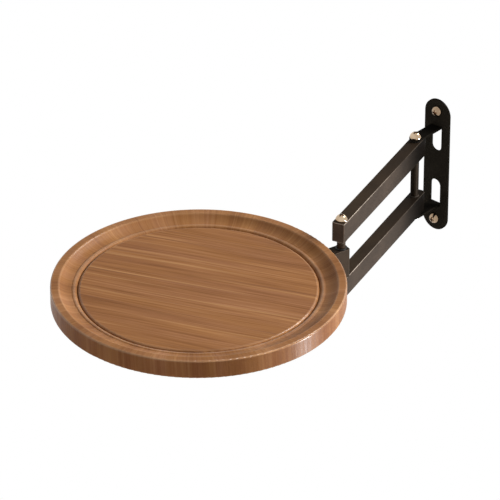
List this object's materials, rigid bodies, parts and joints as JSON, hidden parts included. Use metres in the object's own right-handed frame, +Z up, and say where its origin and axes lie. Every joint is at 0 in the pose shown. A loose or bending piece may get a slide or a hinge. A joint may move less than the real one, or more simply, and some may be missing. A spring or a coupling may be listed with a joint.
{
  "type": "wall-mounted table",
  "caption": "Round wooden tray table on a two-link folding swing arm with an upright wall plate; the arms swing level to either side and the tray turns on a pin.",
  "frame": {"origin": "middle of the wall plate's back face, half way between the two wall screws", "axes": "+Y into the wall, so the table reaches out along -Y; +Z up; +X to the right of someone who faces the wall"},
  "size_m": [0.3, 0.5501, 0.158],
  "materials": {
    "bronze_coat": "satin dark bronze powder coat",
    "gold_metal": "pale gold plated steel",
    "zinc_steel": "zinc plated",
    "black_nylon": "moulded nylon",
    "walnut": "oiled walnut"
  },
  "bodies": {
    "wall_side": {"wall_bracket": "bronze_coat", "wall_screws": "gold_metal", "wall_pivot_pin": "gold_metal", "wall_pivot_washer": "zinc_steel", "wall_pivot_screw": "zinc_steel"},
    "first_arm": {"swing_arm": "bronze_coat", "wall_bushes": "black_nylon", "elbow_pin": "gold_metal", "elbow_spacer": "bronze_coat", "elbow_washer": "zinc_steel", "elbow_screw": "zinc_steel"},
    "second_arm": {"tray_arm": "bronze_coat", "elbow_bushes": "black_nylon", "swivel_bushes": "black_nylon"},
    "tray": {"tray_floor": "walnut", "tray_rim": "walnut", "tray_screws": "zinc_steel", "swivel_plate": "bronze_coat", "swivel_pin": "zinc_steel", "swivel_washer": "zinc_steel", "swivel_nut": "zinc_steel"}
  },
  "joints": [
    {"name": "wall_swing", "type": "hinge", "parent": "wall_side", "child": "first_arm", "pos_m": [0, -0.038, 0], "axis": [0, 0, 1], "range_deg": [-105.7, 74.3]},
    {"name": "elbow_swing", "type": "hinge", "parent": "first_arm", "child": "second_arm", "pos_m": [0.05087, -0.21899, 0], "axis": [0, 0, 1], "range_deg": [-84.7, 145.3]},
    {"name": "tray_turn", "type": "hinge", "parent": "second_arm", "child": "tray", "pos_m": [0.00656, -0.38911, 0], "axis": [0, 0, 1], "continuous": true}
  ]
}
